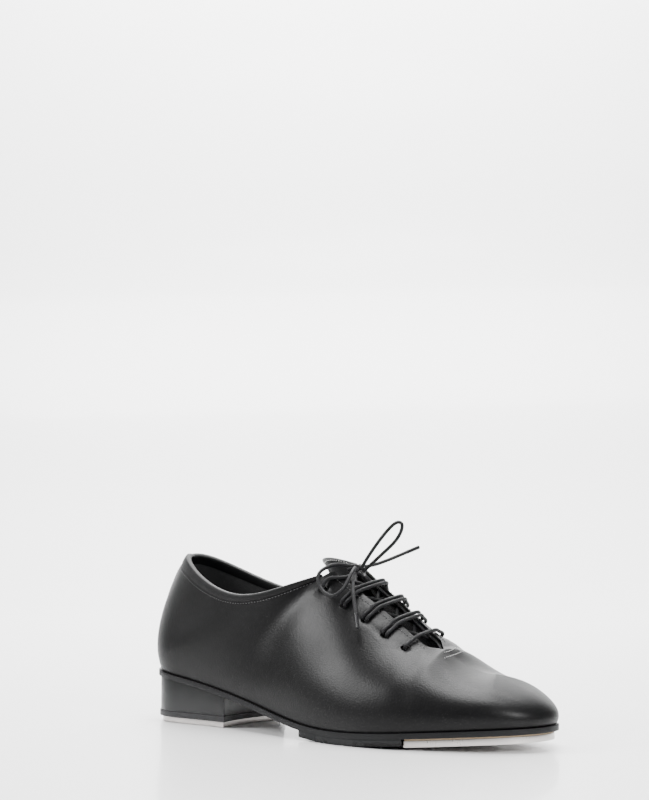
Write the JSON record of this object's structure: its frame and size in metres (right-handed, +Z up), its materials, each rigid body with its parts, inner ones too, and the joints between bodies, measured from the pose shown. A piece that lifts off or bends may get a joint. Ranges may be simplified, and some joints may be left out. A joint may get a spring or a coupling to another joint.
{
  "type": "lace-up tap shoe",
  "caption": "Black leather lace-up tap shoe for the right foot, low heel, metal taps screwed under toe and heel, loose tongue.",
  "frame": {"origin": "middle of the bounding box on the floor plane, laces' loose parts left out", "axes": "+X to the toe, +Y to the inner side of the foot, +Z up"},
  "size_m": [0.2554, 0.086, 0.1119],
  "materials": {
    "leather": "smooth black leather, soft sheen",
    "leather_edge": "black folded leather binding",
    "lining": "dark grey textile lining",
    "board": "fibre board",
    "stay": "woven reinforcing tape",
    "thread": "pale thread",
    "sole": "matt black sole",
    "tread": "fine cross-ribbed rubber",
    "tap_board": "pressed sounding board",
    "tap_metal": "satin tap metal",
    "heel_cover": "dark heel cover",
    "heel_lift": "grey heel lift",
    "steel": "plain steel",
    "screw": "bright screw heads",
    "lace": "waxed round black lace",
    "aglet": "glossy black tip"
  },
  "bodies": {
    "shoe": {"upper": "leather", "lining": "lining", "topline_binding": "leather_edge", "back_strip": "leather", "heel_counter": "board", "toe_puff": "board", "stay_outer": "stay", "stay_inner": "stay", "throat_bartack": "thread", "outsole": "sole", "rubber_forepart": "tread", "toe_tap_board": "tap_board", "toe_tap": "tap_metal", "heel_block": "heel_cover", "heel_nails": "steel", "heel_lift": "heel_lift", "heel_tap": "tap_metal", "insole_board": "board", "steel_shank": "steel", "sock_liner": "lining", "lace_lower": "lace", "lace_upper": "lace", "knot": "lace", "loop_up_cord": "lace", "loop_side_cord": "lace", "end_ahead_cord": "lace", "end_down_cord": "lace", "aglet_ahead": "aglet", "aglet_down": "aglet"},
    "tongue": {"tongue": "leather", "tongue_stitching": "thread"},
    "toe_screw_outer": {"toe_screw_outer": "screw"},
    "toe_screw_inner": {"toe_screw_inner": "screw"},
    "toe_screw_front": {"toe_screw_front": "screw"},
    "heel_screw_back": {"heel_screw_back": "screw"},
    "heel_screw_outer": {"heel_screw_outer": "screw"},
    "heel_screw_inner": {"heel_screw_inner": "screw"}
  },
  "joints": [
    {"name": "tongue_swing", "type": "hinge", "parent": "shoe", "child": "tongue", "pos_m": [0.0752, 0.004, 0.0384], "axis": [0, 1, 0], "range_deg": [-14, 0]},
    {"name": "toe_screw_outer_turn", "type": "hinge", "parent": "shoe", "child": "toe_screw_outer", "pos_m": [0.081, -0.0246, 0.008], "axis": [0, 0, 1], "range_deg": [-180, 0]},
    {"name": "toe_screw_inner_turn", "type": "hinge", "parent": "shoe", "child": "toe_screw_inner", "pos_m": [0.0753, 0.0311, 0.008], "axis": [0, 0, 1], "range_deg": [-180, 0]},
    {"name": "toe_screw_front_turn", "type": "hinge", "parent": "shoe", "child": "toe_screw_front", "pos_m": [0.1196, 0.0091, 0.008], "axis": [0, 0, 1], "range_deg": [-180, 0]},
    {"name": "heel_screw_back_turn", "type": "hinge", "parent": "shoe", "child": "heel_screw_back", "pos_m": [-0.1123, 0.005, 0.008], "axis": [0, 0, 1], "range_deg": [-180, 0]},
    {"name": "heel_screw_outer_turn", "type": "hinge", "parent": "shoe", "child": "heel_screw_outer", "pos_m": [-0.0733, -0.0145, 0.008], "axis": [0, 0, 1], "range_deg": [-180, 0]},
    {"name": "heel_screw_inner_turn", "type": "hinge", "parent": "shoe", "child": "heel_screw_inner", "pos_m": [-0.0698, 0.0215, 0.008], "axis": [0, 0, 1], "range_deg": [-180, 0]}
  ]
}
